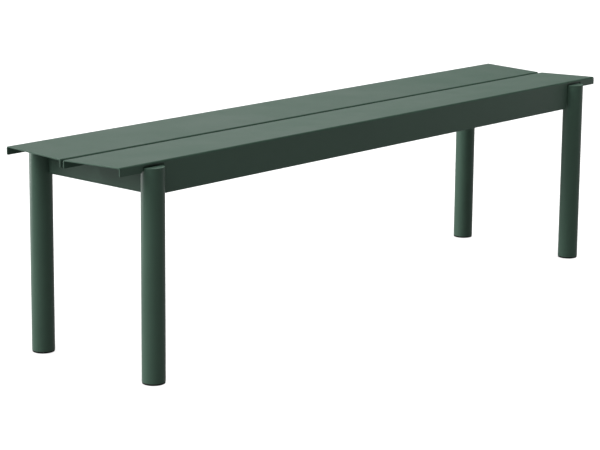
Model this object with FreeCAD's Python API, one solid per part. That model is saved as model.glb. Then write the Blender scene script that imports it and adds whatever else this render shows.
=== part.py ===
import FreeCAD, Part
import math
import os

# Backless outdoor bench of folded sheet steel on four round tube legs.
# Millimetres. X runs along the bench, Y from the front (negative) to the rear, Z up.
# The origin is on the floor, under the middle of the seat.

# --- driving dimensions -------------------------------------------------------------
seat_length = 1700.0        # overall length of both seat planks
seat_width = 344.0          # over the outer faces of the two skirts
seat_height = 466.0         # floor to the highest line of the seat, along its outer edges
sheet = 2.5                 # seat sheet thickness
bend_inside = 2.0           # inside radius of every fold in the seat sheet
seat_fall = 6.0             # each plank falls this much from its outer edge to the middle
centre_gap = 8.0            # drain gap between the two planks

skirt_depth = 70.0          # seat edge to the lower edge of the long skirt
outer_flange_depth = 19.0   # the same fold where the plank overhangs the legs
inner_flange_depth = 18.0   # fold along the centre gap
notch_side_clearance = 5.0  # free space beside each leg where it passes the skirt
notch_top_clearance = 4.0   # and above it
notch_corner = 3.0          # radius in the upper corners of that notch
flange_corner = 3.0         # radius on the free corners of skirt and flanges

leg_diameter = 50.0
leg_wall = 2.5
leg_inset = 93.0            # plank end to leg axis
leg_drop = 10.0             # the closed leg top stays this far below the seat edge
leg_cap_thickness = 3.0
leg_cap_edge = 0.8          # rounded edge of the leg cap

glide_height = 4.0          # foot flange below the tube
glide_diameter = 49.0
glide_edge = 1.0            # rounded edge where the glide meets the floor
plug_length = 26.0          # sleeve of the foot inside the tube
plug_wall = 3.0
plug_fin_reach = 0.9        # fins grip the bore of the tube
plug_fin_height = 2.0
plug_fin_count = 4

rail_sheet = 3.0            # folded end rails between the legs
rail_bend_inside = 3.0
rail_flange = 30.0
rail_reach = 162.0          # half length of an end rail, coped round its legs
rib_sheet = 2.5             # folded ribs under the seat
rib_bend_inside = 2.5
rib_depth = 42.0
rib_flange = 26.0
rib_reach = 165.0
rib_positions = (-370.0, 0.0, 370.0)
relief_half = 14.0          # rails and ribs dip under the inner flanges over this half width
relief_drop = 4.0           # and stay this far below them

tab_thickness = 4.0         # corner tabs join each skirt end to its leg
tab_length = 60.0
tab_height = 44.0           # of its part that takes the studs
tab_rise = 10.0             # lower edge of a tab above the lower edge of the skirt
tab_corner = 6.0
tab_lap = 10.0              # the tab's upper strip runs over the leg and this far past the notch
tab_fold_gap = 0.5          # and stays this far below the fold of the seat sheet
tab_stud_places = (18.0, 44.0)      # from the surface of the leg
seat_stud_places = (55.0, 120.0)    # from the middle of the bench

stud_diameter = 8.0         # weld studs, M8
stud_foot_diameter = 10.0
stud_foot_height = 0.8
stud_length = 16.0
stud_tip = 0.8              # chamfer on the free end
stud_hole = 10.5
washer_diameter = 16.0
washer_bore = 8.4
washer_thickness = 1.6
nut_across_flats = 13.0
nut_height = 6.5
nut_chamfer = 30.0          # degrees, on both faces of the hexagon

# --- values worked out from them ----------------------------------------------------
half_length = seat_length / 2.0
half_width = seat_width / 2.0
plank_width = half_width - centre_gap / 2.0
slope = seat_fall / plank_width
sheet_drop = sheet * math.hypot(1.0, slope)
skirt_bottom = seat_height - skirt_depth
outer_flange_bottom = seat_height - outer_flange_depth
inner_flange_bottom = seat_height - seat_fall - inner_flange_depth
leg_radius = leg_diameter / 2.0
leg_x = half_length - leg_inset
leg_y = half_width - sheet / 2.0
leg_top = seat_height - leg_drop
notch_half = leg_radius + notch_side_clearance
notch_top = leg_top + notch_top_clearance
rib_bottom = seat_height - sheet - rib_depth
overcut = 10.0              # how far a cutting solid runs past what it cuts
tiny = 0.01

sides = (("front", -1.0), ("rear", 1.0))
ends = (("left", -1.0), ("right", 1.0))

vec = FreeCAD.Vector
x_axis = vec(1, 0, 0)
y_axis = vec(0, 1, 0)
z_axis = vec(0, 0, 1)


# --- small helpers ------------------------------------------------------------------
def save(shape, name):
    """Write one sub-part to parts/NAME.step."""
    shape.exportStep("parts/%s.step" % name)


def box_between(low, high):
    """Return a box from its two opposite corners."""
    size = vec(*high) - vec(*low)
    return Part.makeBox(size.x, size.y, size.z, vec(*low))


def prism_along_x(outline, start, length):
    """Return a prism whose section is a list of (y, z) corners."""
    corners = [vec(start, y, z) for y, z in outline]
    face = Part.Face(Part.makePolygon(corners + corners[:1]))
    return face.extrude(x_axis * length)


def flipped(shape, axis, sign):
    """Return the shape, mirrored across the middle of the bench when sign is negative."""
    return shape if sign > 0 else shape.mirror(vec(0, 0, 0), axis)


def seat_top(y):
    """Return the height of the seat's upper face at a distance from the middle."""
    return seat_height - (half_width - abs(y)) * slope


def seat_under(y):
    """Return the height of the seat's lower face at a distance from the middle."""
    return seat_top(y) - sheet_drop


def edges_through(solid, places):
    """Return the edges whose middle lies on one of the given (x, y, z) places.

    A coordinate of None matches anything.
    """
    found = []
    for edge in solid.Edges:
        middle = edge.CenterOfMass
        for place in places:
            pairs = zip((middle.x, middle.y, middle.z), place)
            if all(want is None or abs(have - want) < tiny for have, want in pairs):
                found.append(edge)
                break
    return found


# --- seat planks --------------------------------------------------------------------
def plank_blank():
    """Return the rear plank as one folded section along the whole length."""
    inner_y = centre_gap / 2.0
    outer_face = [
        (inner_y, skirt_bottom),
        (inner_y, seat_top(inner_y)),
        (half_width, seat_height),
        (half_width, skirt_bottom),
    ]
    solid = prism_along_x(outer_face, -half_length, seat_length)
    folds = [(0.0, y, z) for y, z in outer_face[1:3]]
    solid = solid.makeFillet(bend_inside + sheet, edges_through(solid, folds))

    near_y = inner_y + sheet
    far_y = half_width - sheet
    lower = skirt_bottom - overcut
    inner_face = [
        (near_y, lower),
        (near_y, seat_under(near_y)),
        (far_y, seat_under(far_y)),
        (far_y, lower),
    ]
    core = prism_along_x(inner_face, -half_length - overcut, seat_length + 2.0 * overcut)
    folds = [(0.0, y, z) for y, z in inner_face[1:3]]
    core = core.makeFillet(bend_inside, edges_through(core, folds))
    below_flange = box_between(
        (-half_length - overcut, 0.0, skirt_bottom - overcut),
        (half_length + overcut, near_y + overcut, inner_flange_bottom),
    )
    return solid.cut([core, below_flange])


def skirt_trim():
    """Return what is cut from the skirt at its right end: overhang and leg notch."""
    inside = half_width - sheet - bend_inside - tiny
    outside = half_width + overcut
    lower = skirt_bottom - overcut
    overhang = box_between((leg_x, inside, lower), (half_length + overcut, outside, outer_flange_bottom))
    notch = box_between((leg_x - notch_half, inside, lower), (leg_x + notch_half, outside, notch_top))
    corners = [(leg_x - notch_half, None, notch_top), (leg_x + notch_half, None, notch_top)]
    notch = notch.makeFillet(notch_corner, edges_through(notch, corners))
    return overhang.fuse(notch)


def free_corners():
    """Return the places of the plank's sheet corners, at both of its ends."""
    skirt_middle = half_width - sheet / 2.0
    flange_middle = (centre_gap + sheet) / 2.0
    places = []
    for _, end in ends:
        places.append((end * half_length, skirt_middle, outer_flange_bottom))
        places.append((end * (leg_x + notch_half), skirt_middle, outer_flange_bottom))
        places.append((end * (leg_x - notch_half), skirt_middle, skirt_bottom))
        places.append((end * half_length, flange_middle, inner_flange_bottom))
    return places


def seat_plank(side):
    """Return one seat plank: folded sheet, notched round its two legs."""
    solid = plank_blank()
    for _, end in ends:
        solid = solid.cut(flipped(skirt_trim(), x_axis, end))
    solid = solid.makeFillet(flange_corner, edges_through(solid, free_corners()))
    return flipped(solid, y_axis, side)


# --- legs and feet ------------------------------------------------------------------
def leg_tube(x, y):
    """Return one leg tube, open at both ends."""
    length = leg_top - leg_cap_thickness - glide_height
    base = vec(x, y, glide_height)
    outer = Part.makeCylinder(leg_radius, length, base)
    return outer.cut(Part.makeCylinder(leg_radius - leg_wall, length, base))


def leg_cap(x, y):
    """Return the flat steel disc that closes the top of a leg."""
    cap = Part.makeCylinder(leg_radius, leg_cap_thickness, vec(x, y, leg_top - leg_cap_thickness))
    return cap.makeFillet(leg_cap_edge, edges_through(cap, [(x, y, leg_top)]))


def foot_plug(x, y):
    """Return one foot: a round glide under the tube and a finned sleeve inside it."""
    glide = Part.makeCylinder(glide_diameter / 2.0, glide_height, vec(x, y, 0))
    glide = glide.makeFillet(glide_edge, edges_through(glide, [(x, y, 0.0)]))
    fin_radius = leg_radius - leg_wall
    sleeve_radius = fin_radius - plug_fin_reach
    base = vec(x, y, glide_height)
    sleeve = Part.makeCylinder(sleeve_radius, plug_length, base)
    pitch = plug_length / (plug_fin_count + 1)
    for number in range(1, plug_fin_count + 1):
        fin_base = base + z_axis * (number * pitch)
        sleeve = sleeve.fuse(Part.makeCone(fin_radius, sleeve_radius, plug_fin_height, fin_base))
    hollow = Part.makeCylinder(sleeve_radius - plug_wall, plug_length, base)
    return glide.fuse(sleeve.cut(hollow)).removeSplitter()


# --- end rails and ribs -------------------------------------------------------------
def channel(reach, low, thickness, bend, flange):
    """Return a folded channel that lies across the bench, with its web at x = 0.

    The flanges point to negative X. The upper flange follows the fall of both planks
    and is interrupted in the middle, where the web dips under their inner flanges.
    """
    dip = inner_flange_bottom - relief_drop
    outline = [
        (-reach, low),
        (reach, low),
        (reach, seat_under(reach)),
        (relief_half, seat_under(relief_half)),
        (relief_half, dip),
        (-relief_half, dip),
        (-relief_half, seat_under(relief_half)),
        (-reach, seat_under(reach)),
    ]
    block = prism_along_x(outline, -flange, flange)
    upper_middle = (reach + relief_half) / 2.0
    folds = [(0.0, 0.0, low)]
    folds += [(0.0, sign * upper_middle, seat_under(upper_middle)) for sign in (-1.0, 1.0)]
    block = block.makeFillet(bend + thickness, edges_through(block, folds))

    past = reach + overcut
    outline = [
        (-past, low + thickness),
        (past, low + thickness),
        (past, seat_under(past) - thickness),
        (0.0, seat_under(0.0) - thickness),
        (-past, seat_under(past) - thickness),
    ]
    core = prism_along_x(outline, -flange - overcut, flange + overcut - thickness)
    middle = seat_under(past / 2.0) - thickness
    folds = [(-thickness, 0.0, low + thickness)]
    folds += [(-thickness, sign * past / 2.0, middle) for sign in (-1.0, 1.0)]
    core = core.makeFillet(bend, edges_through(core, folds))
    return block.cut(core)


def end_rail(end):
    """Return the rail that joins the two legs of one end, coped round their tubes."""
    rail = channel(rail_reach, skirt_bottom, rail_sheet, rail_bend_inside, rail_flange)
    rail.translate(x_axis * leg_x)
    for _, side in sides:
        base = vec(leg_x, side * leg_y, 0)
        rail = rail.cut(Part.makeCylinder(leg_radius, seat_height, base))
    rail = flipped(rail, x_axis, end)
    return drilled(rail, [place for place in seat_studs() if place[0].x * end > half_length / 2.0])


def under_seat_rib(x):
    """Return one rib that carries both planks between the legs."""
    rib = channel(rib_reach, rib_bottom, rib_sheet, rib_bend_inside, rib_flange)
    rib.translate(x_axis * (x + rib_flange / 2.0))
    return drilled(rib, [place for place in seat_studs() if abs(place[0].x - x) < rib_flange])


def corner_tab(end, side):
    """Return the plate that joins one skirt end to its leg, flat against the skirt.

    Its upper strip rests on the leg cap and closes the notch from behind.
    """
    face = half_width - sheet
    back = face - tab_thickness
    low = skirt_bottom + tab_rise
    shoulder = low + tab_height
    high = seat_height - bend_inside - sheet - tab_fold_gap
    free_x = leg_x - leg_radius - tab_length
    lap_x = leg_x + notch_half + tab_lap
    plate = box_between((free_x, back, low), (leg_x, face, high))
    plate = plate.makeFillet(tab_corner, edges_through(plate, [(free_x, None, low), (free_x, None, high)]))
    strip = box_between((leg_x - leg_radius, back, shoulder), (lap_x, face, high))
    tab = plate.fuse(strip).removeSplitter()
    tab = tab.cut(Part.makeCylinder(leg_radius, leg_top, vec(leg_x, leg_y, 0)))
    tab = flipped(flipped(tab, x_axis, end), y_axis, side)
    return drilled(tab, [place for place in tab_studs(side) if place[0].x * end > 0])


# --- studs, washers and nuts --------------------------------------------------------
def seat_studs(side=None):
    """Return (foot, direction, grip) of the studs under the planks, of one side or both."""
    rows = [(end * (leg_x - (rail_flange + rail_sheet) / 2.0), rail_sheet) for _, end in ends]
    rows += [(x - rib_sheet / 2.0, rib_sheet) for x in rib_positions]
    places = []
    for _, sign in sides:
        if side is not None and sign != side:
            continue
        down = vec(0, sign * slope, -1).normalize()
        for x, grip in rows:
            for y in seat_stud_places:
                places.append((vec(x, sign * y, seat_under(y)), down, grip))
    return places


def tab_studs(side):
    """Return (foot, direction, grip) of the studs on the inner face of one skirt."""
    z = skirt_bottom + tab_rise + tab_height / 2.0
    y = side * (half_width - sheet)
    places = []
    for _, end in ends:
        for distance in tab_stud_places:
            foot = vec(end * (leg_x - leg_radius - distance), y, z)
            places.append((foot, vec(0, -side, 0), tab_thickness))
    return places


def drilled(shape, places):
    """Return the shape with a clearance hole for each stud."""
    for foot, direction, _ in places:
        start = foot - direction * overcut
        shape = shape.cut(Part.makeCylinder(stud_hole / 2.0, 2.0 * overcut, start, direction))
    return shape


def weld_stud(foot, direction):
    """Return one stud with its welded foot and its chamfered tip."""
    base = Part.makeCylinder(stud_foot_diameter / 2.0, stud_foot_height, foot, direction)
    radius = stud_diameter / 2.0
    shank = Part.makeCylinder(radius, stud_length - stud_tip, foot, direction)
    tip_start = foot + direction * (stud_length - stud_tip)
    tip = Part.makeCone(radius, radius - stud_tip, stud_tip, tip_start, direction)
    return base.fuse([shank, tip]).removeSplitter()


def washer(start, direction):
    """Return one flat washer."""
    disc = Part.makeCylinder(washer_diameter / 2.0, washer_thickness, start, direction)
    return disc.cut(Part.makeCylinder(washer_bore / 2.0, washer_thickness, start, direction))


def hexagon_nut(start, direction):
    """Return one hexagon nut, chamfered on both faces."""
    corner_radius = nut_across_flats / math.sqrt(3.0)
    corners = []
    for number in range(7):
        angle = math.radians(60.0 * number)
        corners.append(vec(corner_radius * math.cos(angle), corner_radius * math.sin(angle), 0))
    nut = Part.Face(Part.makePolygon(corners)).extrude(z_axis * nut_height)
    flat_radius = nut_across_flats / 2.0
    rise = (corner_radius - flat_radius) * math.tan(math.radians(nut_chamfer))
    lower = Part.makeCone(flat_radius, corner_radius, rise)
    upper = Part.makeCone(corner_radius, flat_radius, rise, z_axis * (nut_height - rise))
    middle = Part.makeCylinder(corner_radius, nut_height - 2.0 * rise, z_axis * rise)
    nut = nut.common(lower.fuse([middle, upper]))
    nut = nut.cut(Part.makeCylinder(stud_diameter / 2.0, nut_height))
    nut.Placement = FreeCAD.Placement(start, FreeCAD.Rotation(z_axis, direction))
    return nut


def save_fasteners(name, places):
    """Write the studs, washers and nuts of one set of places, one node for each kind."""
    studs = []
    washers = []
    nuts = []
    for foot, direction, grip in places:
        studs.append(weld_stud(foot, direction))
        washers.append(washer(foot + direction * grip, direction))
        nuts.append(hexagon_nut(foot + direction * (grip + washer_thickness), direction))
    save(Part.makeCompound(studs), name + "_weld_studs")
    save(Part.makeCompound(washers), name + "_washers")
    save(Part.makeCompound(nuts), name + "_nuts")


# --- the whole bench ----------------------------------------------------------------
def build():
    """Write every sub-part of the bench."""
    os.makedirs("parts", exist_ok=True)
    for side_name, side in sides:
        save(seat_plank(side), side_name + "_seat_plank")
        save_fasteners(side_name + "_seat", seat_studs(side))
        save_fasteners(side_name + "_skirt", tab_studs(side))
        for end_name, end in ends:
            corner = side_name + "_" + end_name
            x = end * leg_x
            y = side * leg_y
            save(leg_tube(x, y), corner + "_leg_tube")
            save(leg_cap(x, y), corner + "_leg_cap")
            save(foot_plug(x, y), corner + "_foot_plug")
            save(corner_tab(end, side), corner + "_corner_tab")
    for end_name, end in ends:
        save(end_rail(end), end_name + "_end_rail")
    for rib_name, x in zip(("left", "middle", "right"), rib_positions):
        save(under_seat_rib(x), rib_name + "_seat_rib")


build()
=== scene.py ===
import logging
import math
from dataclasses import dataclass
from enum import Enum
from typing import Any, Optional

import bmesh
import bpy
from mathutils import Matrix, Vector


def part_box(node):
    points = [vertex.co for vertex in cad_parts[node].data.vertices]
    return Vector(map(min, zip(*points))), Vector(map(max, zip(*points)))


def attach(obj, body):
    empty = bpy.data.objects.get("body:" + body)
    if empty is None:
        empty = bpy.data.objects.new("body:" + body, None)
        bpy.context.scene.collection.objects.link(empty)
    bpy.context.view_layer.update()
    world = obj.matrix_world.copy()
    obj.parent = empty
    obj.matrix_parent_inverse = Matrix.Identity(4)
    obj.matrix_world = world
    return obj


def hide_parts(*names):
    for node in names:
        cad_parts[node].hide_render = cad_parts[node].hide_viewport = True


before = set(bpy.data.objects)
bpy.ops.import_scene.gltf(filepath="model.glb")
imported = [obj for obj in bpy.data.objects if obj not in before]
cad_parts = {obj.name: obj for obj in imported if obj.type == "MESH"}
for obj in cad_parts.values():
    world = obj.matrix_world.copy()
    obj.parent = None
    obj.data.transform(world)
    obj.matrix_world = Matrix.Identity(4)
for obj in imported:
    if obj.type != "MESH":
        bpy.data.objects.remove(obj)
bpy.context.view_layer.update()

# Backless outdoor bench: two folded sheet-steel planks on four round tube legs.
# Sizes of the bench's own parts are in millimetres. Everything in the scene, and the studio's
# sizes, are in metres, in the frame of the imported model: X along the bench, Y from the front to
# the rear, Z up.

MM = 0.001
SAME_POINT = 0.002 * MM         # points this close are doubles
CUT_EDGE = 40.0                 # degrees, an edge that turns more is a cut edge and gets rounded
EDGE_STEPS = 3                  # faces across a rounded edge
NOISE_LOW, NOISE_HIGH = 0.3, 0.7    # where a noise pattern stays most of the time

log = logging.getLogger("bench")

Point2 = tuple[float, float]


class Side(Enum):
    """Long side of the bench, with its sign along Y."""

    FRONT = -1
    REAR = 1

    @property
    def label(self) -> str:
        """Return the side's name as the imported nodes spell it."""
        return self.name.lower()


class End(Enum):
    """End of the bench, with its sign along X."""

    LEFT = -1
    RIGHT = 1

    @property
    def label(self) -> str:
        """Return the end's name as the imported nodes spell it."""
        return self.name.lower()


class Slot(Enum):
    """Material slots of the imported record."""

    SEAT = "seat_powder_coat"
    FRAME = "frame_powder_coat"
    FOOT = "foot_plastic"
    ZINC = "zinc_fasteners"


# --- colour and nodes ---------------------------------------------------------------
def linear(hex_colour: str) -> tuple[float, float, float, float]:
    """Turn an sRGB hex colour into linear values.

    Args:
        hex_colour: Six hex digits after a hash sign.

    Returns:
        Red, green, blue and an alpha of 1.
    """
    channels = [int(hex_colour[i:i + 2], 16) / 255 for i in (1, 3, 5)]
    low = [c / 12.92 if c <= 0.04045 else ((c + 0.055) / 1.055) ** 2.4 for c in channels]
    return (low[0], low[1], low[2], 1.0)


def add_node(
    tree: bpy.types.NodeTree,
    kind: str,
    settings: Optional[dict[str, Any]] = None,
    inputs: Optional[dict[Any, Any]] = None,
    **links: bpy.types.NodeSocket,
) -> bpy.types.Node:
    """Add one node with its settings and links.

    Args:
        tree: Node tree that gets the node.
        kind: Type name of the node, without its ShaderNode prefix.
        settings: Properties of the node itself.
        inputs: Values of its sockets, by name or number.
        **links: Sockets to join to its inputs, by input name with _ for a space.

    Returns:
        The new node.
    """
    node = tree.nodes.new("ShaderNode" + kind)
    for key, value in (settings or {}).items():
        setattr(node, key, value)
    for key, value in (inputs or {}).items():
        node.inputs[key].default_value = value
    for key, socket in links.items():
        tree.links.new(socket, node.inputs[key.replace("_", " ")])
    return node


def new_material(name: str) -> tuple[bpy.types.Material, bpy.types.NodeTree, bpy.types.Node]:
    """Make an empty node material.

    Args:
        name: Name of the material.

    Returns:
        The material, its node tree and its output node.
    """
    material = bpy.data.materials.new(name)
    material.use_nodes = True
    tree = material.node_tree
    tree.nodes.clear()
    return material, tree, tree.nodes.new("ShaderNodeOutputMaterial")


# --- finishes -----------------------------------------------------------------------
@dataclass(frozen=True)
class PowderCoat:
    """Polyester powder coat, sprayed and baked on steel.

    The eye gets a deep, slightly mottled green with a fine orange peel, dull seen face on and
    with a satin sheen at a flat angle.
    """

    name: str
    colour: str = "#26352d"
    roughness: float = 0.45
    ior: float = 1.5
    specular: float = 0.05          # fine-textured coat, hardly any gloss seen face on
    tone_spread: float = 0.04       # how far the tone wanders to each side
    gloss_spread: float = 0.03      # and how far the roughness does
    tone_patch: float = 140.0       # mm, size of the soft patches
    peel_spacing: float = 2.4       # mm, real orange peel, fine enough to be felt more than seen
    peel_height: float = 0.012      # mm
    grain_spacing: float = 0.9      # mm, powder grain, drawn coarser than its real 0.1 mm
    grain_height: float = 0.004     # mm

    def material(self) -> bpy.types.Material:
        """Build the material.

        Returns:
            The powder coat's node material.
        """
        material, tree, output = new_material(self.name)
        place = add_node(tree, "TexCoord").outputs["Object"]
        patches = add_node(
            tree, "TexNoise", inputs={"Scale": 1 / (self.tone_patch * MM), "Detail": 3.0}, Vector=place
        )
        tone = add_node(
            tree, "MapRange",
            inputs={"From Min": NOISE_LOW, "From Max": NOISE_HIGH,
                    "To Min": 1 - self.tone_spread, "To Max": 1 + self.tone_spread},
            Value=patches.outputs["Fac"],
        )
        colour = add_node(
            tree, "VectorMath", {"operation": "SCALE"},
            {0: linear(self.colour)[:3]}, Scale=tone.outputs["Result"],
        )
        sheen = add_node(
            tree, "MapRange",
            inputs={"From Min": NOISE_LOW, "From Max": NOISE_HIGH,
                    "To Min": self.roughness - self.gloss_spread,
                    "To Max": self.roughness + self.gloss_spread},
            Value=patches.outputs["Fac"],
        )
        normal = self._peel(tree, place)
        shader = add_node(
            tree, "BsdfPrincipled",
            inputs={"IOR": self.ior, "Metallic": 0.0, "Specular IOR Level": self.specular},
            Base_Color=colour.outputs["Vector"], Roughness=sheen.outputs["Result"], Normal=normal,
        )
        tree.links.new(shader.outputs["BSDF"], output.inputs["Surface"])
        return material

    def _peel(self, tree: bpy.types.NodeTree, place: bpy.types.NodeSocket) -> bpy.types.NodeSocket:
        """Add the orange peel and the powder grain as two bumps.

        Args:
            tree: Node tree of the material.
            place: Socket with the place on the piece, in metres.

        Returns:
            The socket with the bumped normal.
        """
        normal: Optional[bpy.types.NodeSocket] = None
        for spacing, height in (
            (self.peel_spacing, self.peel_height), (self.grain_spacing, self.grain_height)
        ):
            pattern = add_node(
                tree, "TexNoise", inputs={"Scale": 1 / (spacing * MM), "Detail": 1.0}, Vector=place
            )
            links = {"Height": pattern.outputs["Fac"]}
            if normal is not None:
                links["Normal"] = normal
            bump = add_node(tree, "Bump", inputs={"Strength": 1.0, "Distance": height * MM}, **links)
            normal = bump.outputs["Normal"]
        return normal


@dataclass(frozen=True)
class MouldedPolyethylene:
    """Black polyethylene, injection moulded.

    The eye gets a dull black with a faint cloudy sheen from the spark-eroded mould.
    """

    name: str
    colour: str = "#050505"
    roughness: float = 0.65
    specular: float = 0.1           # the spark-eroded face scatters most of the gloss
    gloss_spread: float = 0.08
    ior: float = 1.51
    texture_spacing: float = 0.8    # mm, mould texture, drawn coarser than its real 0.1 mm
    texture_height: float = 0.01    # mm

    def material(self) -> bpy.types.Material:
        """Build the material.

        Returns:
            The plastic's node material.
        """
        material, tree, output = new_material(self.name)
        place = add_node(tree, "TexCoord").outputs["Object"]
        pattern = add_node(
            tree, "TexNoise",
            inputs={"Scale": 1 / (self.texture_spacing * MM), "Detail": 3.0}, Vector=place,
        )
        dull = add_node(
            tree, "MapRange",
            inputs={"From Min": NOISE_LOW, "From Max": NOISE_HIGH,
                    "To Min": self.roughness - self.gloss_spread,
                    "To Max": self.roughness + self.gloss_spread},
            Value=pattern.outputs["Fac"],
        )
        # the pattern averages a half, so twice the colour keeps its mean
        tone = add_node(
            tree, "VectorMath", {"operation": "SCALE"},
            {0: [2 * c for c in linear(self.colour)[:3]]}, Scale=pattern.outputs["Fac"],
        )
        bump = add_node(
            tree, "Bump", inputs={"Strength": 1.0, "Distance": self.texture_height * MM},
            Height=pattern.outputs["Fac"],
        )
        shader = add_node(
            tree, "BsdfPrincipled",
            inputs={"IOR": self.ior, "Metallic": 0.0, "Specular IOR Level": self.specular},
            Base_Color=tone.outputs["Vector"], Roughness=dull.outputs["Result"],
            Normal=bump.outputs["Normal"],
        )
        tree.links.new(shader.outputs["BSDF"], output.inputs["Surface"])
        return material


@dataclass(frozen=True)
class ZincPlate:
    """Steel, electroplated with bright zinc and clear passivated.

    The eye gets a cool, slightly blue and yellow clouded metal with soft highlights.
    """

    name: str
    cool: str = "#b9bec4"
    warm: str = "#c9c5b2"
    roughness: float = 0.32
    gloss_spread: float = 0.1
    cloud_size: float = 6.0         # mm, clouds of the passivation
    polish_spacing: float = 0.5     # mm, crystal grain, drawn coarser than it is

    def material(self) -> bpy.types.Material:
        """Build the material.

        Returns:
            The zinc plate's node material.
        """
        material, tree, output = new_material(self.name)
        place = add_node(tree, "TexCoord").outputs["Object"]
        clouds = add_node(
            tree, "TexNoise", inputs={"Scale": 1 / (self.cloud_size * MM), "Detail": 4.0}, Vector=place
        )
        colour = add_node(
            tree, "Mix", {"data_type": "RGBA"},
            {6: linear(self.cool), 7: linear(self.warm)}, Factor=clouds.outputs["Fac"],
        )
        grain = add_node(
            tree, "TexNoise",
            inputs={"Scale": 1 / (self.polish_spacing * MM), "Detail": 2.0}, Vector=place,
        )
        dull = add_node(
            tree, "MapRange",
            inputs={"To Min": self.roughness - self.gloss_spread,
                    "To Max": self.roughness + self.gloss_spread},
            Value=grain.outputs["Fac"],
        )
        shader = add_node(
            tree, "BsdfPrincipled", inputs={"Metallic": 1.0},
            Base_Color=colour.outputs[2], Roughness=dull.outputs["Result"],
        )
        tree.links.new(shader.outputs["BSDF"], output.inputs["Surface"])
        return material


@dataclass(frozen=True)
class FloorPaint:
    """Matt white emulsion on a smooth studio floor; the eye gets a plain, pale ground."""

    name: str
    colour: str = "#bcbcbc"
    roughness: float = 0.9
    patch: float = 900.0            # mm, faint unevenness of the roller
    tone_spread: float = 0.01

    def material(self) -> bpy.types.Material:
        """Build the material.

        Returns:
            The floor's node material.
        """
        material, tree, output = new_material(self.name)
        place = add_node(tree, "TexCoord").outputs["Object"]
        patches = add_node(
            tree, "TexNoise", inputs={"Scale": 1 / (self.patch * MM), "Detail": 2.0}, Vector=place
        )
        tone = add_node(
            tree, "MapRange", inputs={"To Min": 1 - self.tone_spread, "To Max": 1 + self.tone_spread},
            Value=patches.outputs["Fac"],
        )
        colour = add_node(
            tree, "VectorMath", {"operation": "SCALE"},
            {0: linear(self.colour)[:3]}, Scale=tone.outputs["Result"],
        )
        shader = add_node(
            tree, "BsdfPrincipled",
            inputs={"Roughness": self.roughness, "Specular IOR Level": 0.0},
            Base_Color=colour.outputs["Vector"],
        )
        tree.links.new(shader.outputs["BSDF"], output.inputs["Surface"])
        return material


# --- mesh helpers -------------------------------------------------------------------
def rounded_outline(corners: list[tuple[float, float, float]], steps: int = 6) -> list[Point2]:
    """Round the corners of a flat outline.

    Args:
        corners: Corner places with the radius of each: (u, v, radius).
        steps: Straight pieces in each rounded corner.

    Returns:
        The points of the closed outline.
    """
    outline: list[Point2] = []
    for number, (u, v, radius) in enumerate(corners):
        corner = Vector((u, v))
        before = Vector(corners[number - 1][:2]) - corner
        after = Vector(corners[(number + 1) % len(corners)][:2]) - corner
        start, finish = before.normalized(), after.normalized()
        half = start.angle(finish) / 2
        middle = corner + (start + finish).normalized() * (radius / math.sin(half))
        first = corner + start * (radius / math.tan(half)) - middle
        last = corner + finish * (radius / math.tan(half)) - middle
        turn = math.atan2(first.cross(last), first.dot(last))
        for step in range(steps + 1):
            spoke = Matrix.Rotation(turn * step / steps, 2) @ first
            outline.append(tuple(middle + spoke))
    return outline


def new_piece(
    name: str, mesh: bmesh.types.BMesh, material: bpy.types.Material
) -> bpy.types.Object:
    """Turn a finished bmesh into a piece that rides on the bench.

    Args:
        name: Name of the piece.
        mesh: Its mesh, in metres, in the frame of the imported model.
        material: Its finish.

    Returns:
        The new object.
    """
    data = bpy.data.meshes.new(name)
    bmesh.ops.recalc_face_normals(mesh, faces=mesh.faces)
    mesh.to_mesh(data)
    mesh.free()
    data.shade_smooth()
    data.materials.append(material)
    piece = bpy.data.objects.new(name, data)
    bpy.context.scene.collection.objects.link(piece)
    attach(piece, "root")
    return piece


def separate_solids(mesh: bmesh.types.BMesh) -> list[list[Vector]]:
    """Sort the points of a mesh by the solid they belong to.

    Args:
        mesh: A mesh with no doubled points, in metres.

    Returns:
        The points of each solid, in millimetres.
    """
    solids = []
    waiting = set(mesh.verts)
    while waiting:
        reached = [waiting.pop()]
        for vert in reached:
            for edge in vert.link_edges:
                other = edge.other_vert(vert)
                if other in waiting:
                    waiting.remove(other)
                    reached.append(other)
        solids.append([vert.co / MM for vert in reached])
    return solids


def skin_rings(mesh: bmesh.types.BMesh, rings: list[list[bmesh.types.BMVert]]) -> None:
    """Join rings of points, one above the other, into a closed solid.

    Args:
        mesh: Mesh that holds the points.
        rings: Rings with the same number of points each.
    """
    for lower, upper in zip(rings, rings[1:]):
        for number, vert in enumerate(lower):
            mesh.faces.new((lower[number - 1], vert, upper[number], upper[number - 1]))
    mesh.faces.new(rings[0])
    mesh.faces.new(rings[-1])


def soften_edges(piece: bpy.types.Object, width: float, weld: bool = False) -> None:
    """Round the sharp edges of a piece and keep its flat faces flat.

    Args:
        piece: The piece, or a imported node.
        width: Width of the rounding, in millimetres.
        weld: Whether doubled points are joined first.
    """
    if weld:
        piece.modifiers.new("join", "WELD").merge_threshold = SAME_POINT
    bevel = piece.modifiers.new("edge", "BEVEL")
    bevel.width = width * MM
    bevel.segments = EDGE_STEPS
    bevel.limit_method = "ANGLE"
    bevel.angle_limit = math.radians(CUT_EDGE)
    bevel.miter_outer = "MITER_ARC"
    normals = piece.modifiers.new("flats", "WEIGHTED_NORMAL")
    normals.keep_sharp = False


def dress(node: str, material: bpy.types.Material) -> bpy.types.Object:
    """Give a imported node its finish.

    Args:
        node: Name of the node.
        material: Its finish.

    Returns:
        The node's object.
    """
    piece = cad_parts[node]
    piece.data.materials.clear()
    piece.data.materials.append(material)
    return piece


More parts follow.
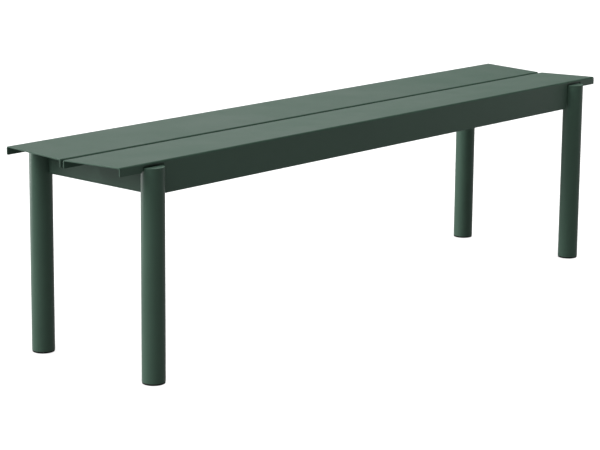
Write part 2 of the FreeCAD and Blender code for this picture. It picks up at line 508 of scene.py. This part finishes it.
# --- folded sheet -------------------------------------------------------------------
@dataclass
class FoldedSheet:
    """A sheet cut to a flat blank and then folded along lines parallel to X.

    Its section is given by the corners of its middle line, as (y, z) in millimetres.
    """

    corners: list[Point2]
    bend_radius: float              # of the middle line
    thickness: float
    bend_steps: int = 8
    edge_round: float = 0.5

    def section(self) -> list[tuple[float, float, float]]:
        """Return the middle line as (distance along it, y, z)."""
        line: list[Vector] = [Vector(self.corners[0])]
        for before, corner, after in zip(self.corners, self.corners[1:], self.corners[2:]):
            triple = [(*before, 0.0), (*corner, self.bend_radius), (*after, 0.0)]
            bent = rounded_outline_corner(triple, self.bend_steps)
            line += [Vector(point) for point in bent]
        line.append(Vector(self.corners[-1]))
        stations = [(0.0, line[0].x, line[0].y)]
        for here, there in zip(line, line[1:]):
            stations.append((stations[-1][0] + (there - here).length, there.x, there.y))
        return stations

    def mesh(self, blank: list[Point2]) -> bmesh.types.BMesh:
        """Cut the blank and fold it.

        Args:
            blank: Outline of the flat blank, as (x, distance along the section).

        Returns:
            The middle surface of the folded sheet, in metres.
        """
        stations = self.section()
        cut = bmesh.new()
        cut.faces.new([cut.verts.new((x, along, 0.0)) for x, along in blank])
        for along, _, _ in stations[1:-1]:
            bmesh.ops.bisect_plane(
                cut, geom=[*cut.verts, *cut.edges, *cut.faces],
                plane_co=(0.0, along, 0.0), plane_no=(0.0, 1.0, 0.0),
            )
        for vert in cut.verts:
            y, z = place_on(stations, vert.co.y)
            vert.co = Vector((vert.co.x, y, z)) * MM
        return cut

    def thicken(self, piece: bpy.types.Object) -> None:
        """Give the folded middle surface its thickness and its rounded cut edges."""
        solid = piece.modifiers.new("sheet", "SOLIDIFY")
        solid.thickness = self.thickness * MM
        solid.offset = 0.0
        solid.use_even_offset = True
        soften_edges(piece, self.edge_round)


def rounded_outline_corner(triple: list[tuple[float, float, float]], steps: int) -> list[Point2]:
    """Return only the points of the middle corner of three, rounded to its radius."""
    outline = rounded_outline(triple, steps)
    return outline[steps + 1:2 * (steps + 1)]


def place_on(stations: list[tuple[float, float, float]], along: float) -> Point2:
    """Return the (y, z) at a distance along a section."""
    for (s0, y0, z0), (s1, y1, z1) in zip(stations, stations[1:]):
        if along <= s1 or (s1, y1, z1) == stations[-1]:
            share = (along - s0) / (s1 - s0)
            return (y0 + (y1 - y0) * share, z0 + (z1 - z0) * share)
    raise ValueError("the section has no length")


# --- seat planks --------------------------------------------------------------------
@dataclass
class SeatPlank:
    """One seat plank: folded sheet with a skirt, notched round its two legs."""

    side: Side
    coat: bpy.types.Material
    sheet: float = 2.5
    bend_inside: float = 2.0
    fall: float = 6.0               # of the plank, from its outer edge to its inner edge
    outer_flange: float = 19.0
    inner_flange: float = 18.0
    side_clearance: float = 5.0     # notch beside and above the leg
    top_clearance: float = 4.0
    corner: float = 3.0

    def build(self) -> bpy.types.Object:
        """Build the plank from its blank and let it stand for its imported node.

        Returns:
            The plank.
        """
        node = self.side.label + "_seat_plank"
        low, high = (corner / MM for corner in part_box(node))
        inner, outer = sorted((abs(low.y), abs(high.y)))
        slope = self.fall / (outer - inner)
        half_sheet = self.sheet / 2
        top_drop = half_sheet * math.hypot(1.0, slope)
        near, far = inner + half_sheet, outer - half_sheet
        flange_end = high.z - self.fall - self.inner_flange
        folded = FoldedSheet(
            corners=[
                (near, flange_end),
                (near, high.z - (outer - near) * slope - top_drop),
                (far, high.z - (outer - far) * slope - top_drop),
                (far, low.z),
            ],
            bend_radius=self.bend_inside + half_sheet,
            thickness=self.sheet,
        )
        length = folded.section()[-1][0]
        mesh = folded.mesh(self._blank(low, high, length))
        if self.side is Side.FRONT:
            bmesh.ops.scale(mesh, vec=(1, -1, 1), verts=mesh.verts)
        piece = new_piece(node + "_folded", mesh, self.coat)
        folded.thicken(piece)
        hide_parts(node)
        return piece

    def _blank(self, low: Vector, high: Vector, length: float) -> list[Point2]:
        """Lay out the flat blank.

        Args:
            low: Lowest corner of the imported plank, in millimetres.
            high: Its highest corner.
            length: Developed width of the blank.

        Returns:
            The blank's outline, as (x, distance along the section).
        """
        leg_low, leg_high = (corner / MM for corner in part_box(self.side.label + "_right_leg_tube"))
        cap_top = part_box(self.side.label + "_right_leg_cap")[1].z / MM
        end = high.x
        outside = leg_high.x + self.side_clearance
        inside = leg_low.x - self.side_clearance
        flange = length - (high.z - self.outer_flange - low.z)
        notch = length - (cap_top + self.top_clearance - low.z)
        right = [
            (end, 0.0), (end, flange), (outside, flange),
            (outside, notch), (inside, notch), (inside, length),
        ]
        left = [(-x, along) for x, along in reversed(right)]
        return rounded_outline([(x, along, self.corner) for x, along in right + left])


# --- legs ---------------------------------------------------------------------------
@dataclass
class Leg:
    """One leg: tube, flat cap welded on and ground flush, and a black foot."""

    side: Side
    end: End
    coat: bpy.types.Material
    plastic: bpy.types.Material

    def build(self) -> list[bpy.types.Object]:
        """Dress the tube, the cap and the foot.

        Returns:
            The dressed pieces.
        """
        corner = "%s_%s" % (self.side.label, self.end.label)
        pieces = [dress(corner + "_leg_tube", self.coat), dress(corner + "_leg_cap", self.coat)]
        pieces.append(dress(corner + "_foot_plug", self.plastic))
        return pieces


# --- welds --------------------------------------------------------------------------
@dataclass
class WeldBead:
    """Fillet weld laid upwards in an inside corner, in overlapping ripples."""

    name: str
    foot: Vector                    # lower end of the corner
    length: float
    radius: float = 2.6
    ripple: float = 1.6             # from one ripple to the next
    ripple_depth: float = 0.3
    rings_per_ripple: int = 4
    sides: int = 14
    end_share: float = 0.4          # of its width that a bead has at its very ends

    def build(self, coat: bpy.types.Material) -> bpy.types.Object:
        """Build the bead.

        Args:
            coat: Powder coat over the weld.

        Returns:
            The bead.
        """
        mesh = bmesh.new()
        count = round(self.length / self.ripple) * self.rings_per_ripple
        skin_rings(mesh, [self._ring(mesh, self.length * step / count) for step in range(count + 1)])
        return new_piece(self.name, mesh, coat)

    def _ring(self, mesh: bmesh.types.BMesh, height: float) -> list[bmesh.types.BMVert]:
        """Add one ring of points.

        Args:
            mesh: Mesh that gets the points.
            height: Height of the ring above the foot of the bead.

        Returns:
            The points of the ring.
        """
        swell = self.ripple_depth * abs(math.sin(math.pi * height / self.ripple))
        nearest_end = min(height, self.length - height)
        taper = min(1.0, self.end_share + nearest_end / (2 * self.radius))
        reach = (self.radius - self.ripple_depth + swell) * taper
        ring = []
        for number in range(self.sides):
            turn = 2 * math.pi * number / self.sides
            spoke = Vector((reach * math.cos(turn), reach * math.sin(turn), height))
            ring.append(mesh.verts.new((self.foot + spoke) * MM))
        return ring


@dataclass
class LegWelds:
    """The beads that join one leg to its end rail and to its corner tab."""

    side: Side
    end: End
    coat: bpy.types.Material
    rail_sheet: float = 3.0
    tab_height: float = 44.0        # of the tab beside the leg
    end_margin: float = 3.0         # a bead stops this far from the end of its corner
    rail_bend: float = 6.0          # outer radius of the rail's fold, free of weld

    def build(self) -> list[bpy.types.Object]:
        """Lay both beads.

        Returns:
            The beads.
        """
        leg_low, leg_high = (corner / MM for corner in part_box(self._node("leg_tube")))
        axis = (leg_low + leg_high) / 2
        radius = (leg_high.x - leg_low.x) / 2
        rail_low, rail_high = (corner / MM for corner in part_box(self.end.label + "_end_rail"))
        tab_low, tab_high = (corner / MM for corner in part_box(self._node("corner_tab")))
        web = (rail_low.x if self.end is End.LEFT else rail_high.x) - self.end.value * self.rail_sheet
        tab_back = tab_high.y if self.side is Side.FRONT else tab_low.y
        rail_y = axis.y - self.side.value * math.sqrt(radius ** 2 - (web - axis.x) ** 2)
        tab_x = axis.x - self.end.value * math.sqrt(radius ** 2 - (tab_back - axis.y) ** 2)
        rail_foot = Vector((web, rail_y, rail_low.z + self.end_margin))
        rail_length = rail_high.z - rail_low.z - 2 * self.end_margin - self.rail_bend
        tab_foot = Vector((tab_x, tab_back, tab_low.z + self.end_margin))
        beads = (
            WeldBead(self._node("rail_weld"), rail_foot, rail_length),
            WeldBead(self._node("tab_weld"), tab_foot, self.tab_height - 2 * self.end_margin),
        )
        return [bead.build(self.coat) for bead in beads]

    def _node(self, part: str) -> str:
        """Return the full name of a part of this corner."""
        return "%s_%s_%s" % (self.side.label, self.end.label, part)


# --- frame --------------------------------------------------------------------------
@dataclass
class UnderFrame:
    """End rails, ribs and corner tabs that carry the planks."""

    coat: bpy.types.Material
    edge_round: float = 0.4

    def build(self) -> list[bpy.types.Object]:
        """Dress every rail, rib and tab.

        Returns:
            The dressed pieces.
        """
        names = [end.label + "_end_rail" for end in End]
        names += [place + "_seat_rib" for place in ("left", "middle", "right")]
        names += ["%s_%s_corner_tab" % (side.label, end.label) for side in Side for end in End]
        pieces = [dress(name, self.coat) for name in names]
        for piece in pieces:
            soften_edges(piece, self.edge_round, weld=True)
        return pieces


@dataclass
class ThreadedStud:
    """One weld stud: a flat foot, a rolled thread and a tapered tip."""

    foot: Vector                    # middle of the welded face
    ahead: Vector                   # from the foot to the tip
    length: float
    radius: float = 4.0             # M8
    pitch: float = 1.25
    depth: float = 0.6              # of the thread
    foot_radius: float = 5.0
    foot_height: float = 0.8
    tip: float = 0.8                # length that tapers
    sides: int = 24
    rings_per_turn: int = 6

    def add(self, mesh: bmesh.types.BMesh) -> None:
        """Add the stud to a mesh.

        Args:
            mesh: Mesh that gets the stud.
        """
        threaded = self.length - self.foot_height
        count = round(threaded / self.pitch * self.rings_per_turn)
        rings = [self._ring(mesh, height, self.foot_radius) for height in (0.0, self.foot_height)]
        rings += [self._ring(mesh, self.foot_height + threaded * step / count) for step in range(count + 1)]
        skin_rings(mesh, rings)

    def _ring(
        self, mesh: bmesh.types.BMesh, height: float, plain: Optional[float] = None
    ) -> list[bmesh.types.BMVert]:
        """Add one ring of points.

        Args:
            mesh: Mesh that gets the points.
            height: Height of the ring above the welded face.
            plain: Radius of a ring without thread.

        Returns:
            The points of the ring.
        """
        turn = self.ahead.to_track_quat("Z", "Y")
        ring = []
        for side in range(self.sides):
            around = side / self.sides
            reach = self._reach(height, around) if plain is None else plain
            angle = 2 * math.pi * around
            spoke = Vector((reach * math.cos(angle), reach * math.sin(angle), height))
            ring.append(mesh.verts.new((self.foot + turn @ spoke) * MM))
        return ring

    def _reach(self, height: float, around: float) -> float:
        """Return the radius of the thread at a height and a part of a turn."""
        groove = abs(2 * ((height / self.pitch - around) % 1.0) - 1)
        thread = self.radius - self.depth * groove
        taper = self.radius - max(0.0, self.tip - (self.length - height))
        return min(thread, taper)


@dataclass
class Fasteners:
    """Weld studs with their washers and nuts."""

    side: Side
    zinc: bpy.types.Material
    axis_passes: int = 60           # enough for the direction of a stud to settle

    def build(self) -> list[bpy.types.Object]:
        """Dress the studs, washers and nuts of one side.

        Returns:
            The dressed pieces.
        """
        pieces = []
        for row in ("seat", "skirt"):
            name = "%s_%s_" % (self.side.label, row)
            pieces += [dress(name + kind, self.zinc) for kind in ("washers", "nuts")]
            pieces.append(self._threaded(name + "weld_studs"))
        return pieces

    def _threaded(self, node: str) -> bpy.types.Object:
        """Build the threaded studs that stand for one packed row of plain ones.

        Args:
            node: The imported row.

        Returns:
            The studs, as one piece.
        """
        plain = bmesh.new()
        plain.from_mesh(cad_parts[node].data)
        bmesh.ops.remove_doubles(plain, verts=plain.verts, dist=SAME_POINT)
        mesh = bmesh.new()
        for points in separate_solids(plain):
            foot, ahead, length = self._axis(points)
            ThreadedStud(foot, ahead, length).add(mesh)
        plain.free()
        piece = new_piece(node + "_threaded", mesh, self.zinc)
        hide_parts(node)
        return piece

    def _axis(self, points: list[Vector]) -> tuple[Vector, Vector, float]:
        """Find the foot, the direction and the length of one plain stud.

        Args:
            points: Its points, in millimetres.

        Returns:
            Middle of its foot, direction from the foot to the tip, and length.
        """
        middle = sum(points, Vector()) / len(points)
        offsets = [point - middle for point in points]
        spread = Matrix([[sum(o[i] * o[j] for o in offsets) for j in range(3)] for i in range(3)])
        ahead = Vector((1.0, -self.side.value, -1.0))
        for _ in range(self.axis_passes):
            ahead = (spread @ ahead).normalized()
        if ahead.z + ahead.y * self.side.value > 0:
            ahead.negate()
        along = [offset.dot(ahead) for offset in offsets]
        return middle + ahead * min(along), ahead, max(along) - min(along)


# --- studio -------------------------------------------------------------------------
@dataclass(frozen=True)
class LitGroup:
    """Objects that one group of studio lights falls on, as flags beside the lamps would sort them."""

    collection: bpy.types.Collection

    @classmethod
    def of(cls, name: str, objects: list[bpy.types.Object]) -> "LitGroup":
        """Gather objects for a group of lights.

        Args:
            name: Name of the group.
            objects: Objects that the lights fall on.

        Returns:
            The group.
        """
        collection = bpy.data.collections.new(name)
        for thing in objects:
            collection.objects.link(thing)
        return cls(collection)

    def light(self, lamp: bpy.types.Object, shadowless: bool) -> None:
        """Let a lamp fall on this group only.

        Args:
            lamp: The lamp.
            shadowless: Whether objects outside the group cast no shadow from it.
        """
        lamp.light_linking.receiver_collection = self.collection
        if shadowless:
            lamp.light_linking.blocker_collection = self.collection


@dataclass(frozen=True)
class Softbox:
    """One soft light so far away that it lights everything alike."""

    name: str
    azimuth: float                  # degrees from +X towards +Y
    elevation: float                # degrees above the floor
    spread: float                   # degrees it fills, seen from the bench
    strength: float                 # watts on a square metre facing it

    def hang(self) -> bpy.types.Object:
        """Add the light to the scene.

        Returns:
            The lamp.
        """
        lamp = bpy.data.lights.new(self.name, "SUN")
        lamp.energy = self.strength
        lamp.angle = math.radians(self.spread)
        around, above = math.radians(self.azimuth), math.radians(self.elevation)
        towards = Vector((
            math.cos(around) * math.cos(above), math.sin(around) * math.cos(above), math.sin(above)
        ))
        light = bpy.data.objects.new(self.name, lamp)
        light.rotation_euler = towards.to_track_quat("Z", "Y").to_euler()
        bpy.context.scene.collection.objects.link(light)
        return light


@dataclass(frozen=True)
class Panel:
    """One small square light panel on a stand near the bench."""

    name: str
    place: tuple[float, float, float]       # metres
    aim: tuple[float, float, float]
    size: float                     # metres
    power: float                    # watts

    def hang(self) -> bpy.types.Object:
        """Add the light to the scene.

        Returns:
            The lamp.
        """
        lamp = bpy.data.lights.new(self.name, "AREA")
        lamp.energy = self.power
        lamp.size = self.size
        light = bpy.data.objects.new(self.name, lamp)
        away = Vector(self.place) - Vector(self.aim)
        turn = away.to_track_quat("Z", "Y").to_matrix().to_4x4()
        light.matrix_world = Matrix.Translation(self.place) @ turn
        light.visible_camera = False
        bpy.context.scene.collection.objects.link(light)
        return light


@dataclass(frozen=True)
class RoomLight:
    """Light of the white studio walls: a bright strip along the horizon, dim above it."""

    strip: float = 1.05
    dim: float = 0.05
    strip_top: float = 0.045        # sine of the height where the strip starts to fade
    fade_top: float = 0.09          # and where it has faded

    def fill(self) -> None:
        """Set the world's light."""
        world = bpy.data.worlds.new("studio")
        bpy.context.scene.world = world
        world.use_nodes = True
        tree = world.node_tree
        tree.nodes.clear()
        towards = add_node(tree, "TexCoord").outputs["Generated"]
        height = add_node(tree, "SeparateXYZ", Vector=towards)
        strength = add_node(
            tree, "MapRange", {"interpolation_type": "SMOOTHSTEP"},
            {"From Min": self.strip_top, "From Max": self.fade_top,
             "To Min": self.strip, "To Max": self.dim},
            Value=height.outputs["Z"],
        )
        glow = add_node(
            tree, "Background", inputs={"Color": (1.0, 1.0, 1.0, 1.0)}, Strength=strength.outputs["Result"]
        )
        add_node(tree, "OutputWorld", Surface=glow.outputs["Background"])


@dataclass
class Studio:
    """Plain pale floor, soft light and the camera."""

    floor_half: float = 60.0        # metres
    stand: tuple[float, float, float] = (-3.5823, -3.0559, 1.2576)      # metres
    heading: float = 48.636         # degrees from +Y towards +X
    tilt: float = 11.175            # degrees below the horizon
    roll: float = 0.536
    lens: float = 121.61            # mm, as is the sensor
    sensor: float = 36.0
    sight: float = 500.0            # metres, the camera sees this far
    shift: float = -0.1             # of the frame's width
    bench_lights: tuple[Softbox | Panel, ...] = (
        Softbox("key", 141.0, 34.0, 45.0, 7.4),
        Softbox("high_side", 165.0, 58.0, 60.0, 4.7),
        Softbox("overhead", 150.0, 80.0, 90.0, 2.3),
        Softbox("back_rim", 45.0, 25.0, 25.0, 0.33),
        Panel("left_panel", (-1.25, 1.9, 0.4), (-0.76, 0.0, 0.25), 0.8, 48.0),
        Panel("end_fill", (2.1, -0.9, 0.6), (0.8, -0.2, 0.25), 0.8, 6.0),
    )
    floor_light: Softbox = Softbox("floor_wash", 0.0, 89.0, 120.0, 8.2)

    def build(self) -> None:
        """Lay the floor, hang the lights and set up the camera."""
        bench = LitGroup.of("bench", [thing for thing in bpy.context.scene.objects if thing.type == "MESH"])
        floor = LitGroup.of("bare_floor", [self._floor()])
        RoomLight().fill()
        for light in self.bench_lights:
            bench.light(light.hang(), shadowless=False)
        floor.light(self.floor_light.hang(), shadowless=True)
        self._camera()

    def _floor(self) -> bpy.types.Object:
        """Lay the floor.

        Returns:
            The floor.
        """
        half = self.floor_half
        mesh = bmesh.new()
        corners = ((-half, -half), (half, -half), (half, half), (-half, half))
        mesh.faces.new([mesh.verts.new((x, y, 0.0)) for x, y in corners])
        data = bpy.data.meshes.new("floor")
        mesh.to_mesh(data)
        mesh.free()
        data.materials.append(FloorPaint("floor_emulsion").material())
        floor = bpy.data.objects.new("floor", data)
        bpy.context.scene.collection.objects.link(floor)
        return floor

    def _camera(self) -> None:
        """Place the camera and frame the bench."""
        heading, tilt, roll = (math.radians(a) for a in (self.heading, self.tilt, self.roll))
        level = Vector((math.sin(heading), math.cos(heading), 0.0))
        ahead = level * math.cos(tilt) - Vector((0.0, 0.0, math.sin(tilt)))
        right = Vector((math.cos(heading), -math.sin(heading), 0.0))
        up = right.cross(ahead)
        turned_right = right * math.cos(roll) + up * math.sin(roll)
        turned_up = up * math.cos(roll) - right * math.sin(roll)
        camera = bpy.data.objects.new("camera", bpy.data.cameras.new("camera"))
        camera.data.lens = self.lens
        camera.data.sensor_width = self.sensor
        camera.data.shift_y = self.shift
        camera.data.clip_end = self.sight
        axes = Matrix((turned_right, turned_up, -ahead)).transposed()
        camera.matrix_world = Matrix.Translation(self.stand) @ axes.to_4x4()
        bpy.context.scene.collection.objects.link(camera)
        bpy.context.scene.camera = camera


def main() -> None:
    """Build the bench and its studio."""
    logging.basicConfig(level=logging.INFO, format="%(name)s: %(message)s")
    bpy.context.scene.view_settings.view_transform = "Standard"
    seat_coat = PowderCoat("seat_powder_coat").material()
    frame_coat = PowderCoat("frame_powder_coat").material()
    plastic = MouldedPolyethylene("foot_polyethylene").material()
    zinc = ZincPlate("zinc_plate").material()
    for side in Side:
        log.info("plank %s", SeatPlank(side, seat_coat).build().name)
        for end in End:
            log.info("leg %s", [piece.name for piece in Leg(side, end, frame_coat, plastic).build()])
            log.info("welds %s", [piece.name for piece in LegWelds(side, end, frame_coat).build()])
        log.info("fasteners %s", [piece.name for piece in Fasteners(side, zinc).build()])
    log.info("under frame %s", [piece.name for piece in UnderFrame(frame_coat).build()])
    Studio().build()


if __name__ == "__main__":
    main()
